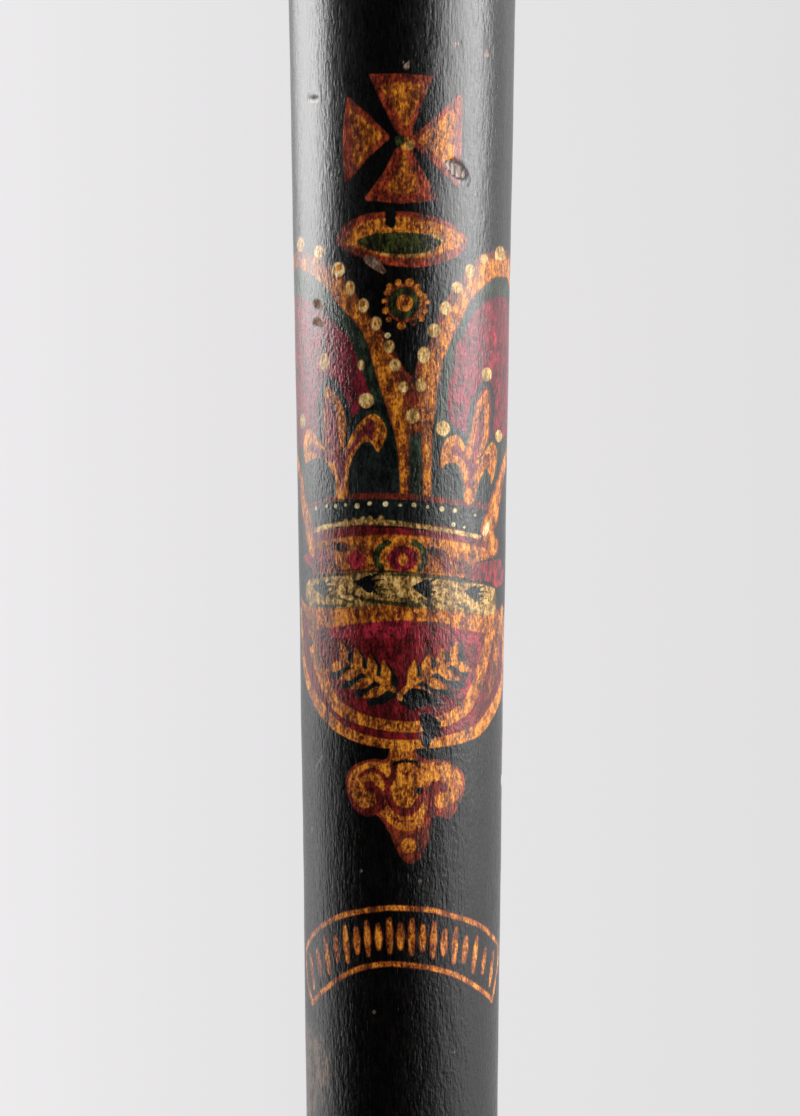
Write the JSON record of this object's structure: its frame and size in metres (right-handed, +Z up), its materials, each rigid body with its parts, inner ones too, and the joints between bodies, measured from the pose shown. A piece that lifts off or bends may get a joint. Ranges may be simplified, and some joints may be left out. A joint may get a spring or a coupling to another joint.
{
  "type": "constable staff",
  "caption": "Short turned wooden staff of office with a painted barrel, domed head, beaded collar and round pommel, lying on its side.",
  "frame": {"origin": "on the surface that the staff lies on, below the middle of its length", "axes": "+Y along the staff towards its head, +Z up out of its painted face, +X to the right of the painted face with the head up"},
  "size_m": [0.0464, 0.43, 0.046],
  "materials": {
    "painted_wood": "black varnish over hardwood, with a gilt, crimson and green painted crown and bands, worn and chipped"
  },
  "bodies": {
    "root": {"staff": "painted_wood"}
  },
  "joints": []
}
